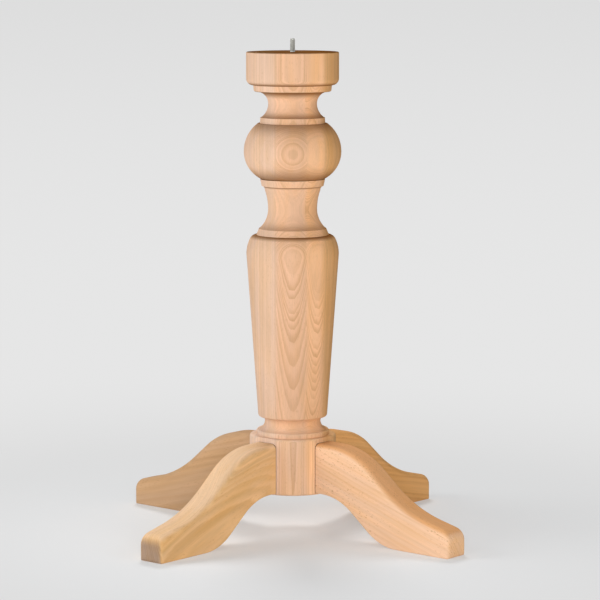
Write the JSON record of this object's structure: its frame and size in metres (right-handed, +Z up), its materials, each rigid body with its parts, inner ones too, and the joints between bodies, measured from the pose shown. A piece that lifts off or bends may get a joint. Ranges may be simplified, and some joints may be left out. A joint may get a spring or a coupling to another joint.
{
  "type": "pedestal table base",
  "caption": "Turned beech pedestal on S-curved splayed legs, with a threaded steel stud in its flat top to take a round table top.",
  "frame": {"origin": "on the floor under the column's axis", "axes": "+Z up along the column, -Y the front between two legs, +X to the right; the legs run out on the diagonals"},
  "size_m": [0.4674, 0.4674, 0.74],
  "materials": {
    "column_wood": "raw beech, sanded, no varnish",
    "leg_wood": "raw beech, sanded, no varnish",
    "dowel_wood": "raw beech",
    "bolt_steel": "zinc plated"
  },
  "bodies": {
    "root": {"column": "column_wood", "leg_front_left": "leg_wood", "leg_front_right": "leg_wood", "leg_back_left": "leg_wood", "leg_back_right": "leg_wood", "dowel_front_left_lower": "dowel_wood", "dowel_front_left_upper": "dowel_wood", "dowel_front_right_lower": "dowel_wood", "dowel_front_right_upper": "dowel_wood", "dowel_back_left_lower": "dowel_wood", "dowel_back_left_upper": "dowel_wood", "dowel_back_right_lower": "dowel_wood", "dowel_back_right_upper": "dowel_wood", "hanger_bolt": "bolt_steel"}
  },
  "joints": []
}
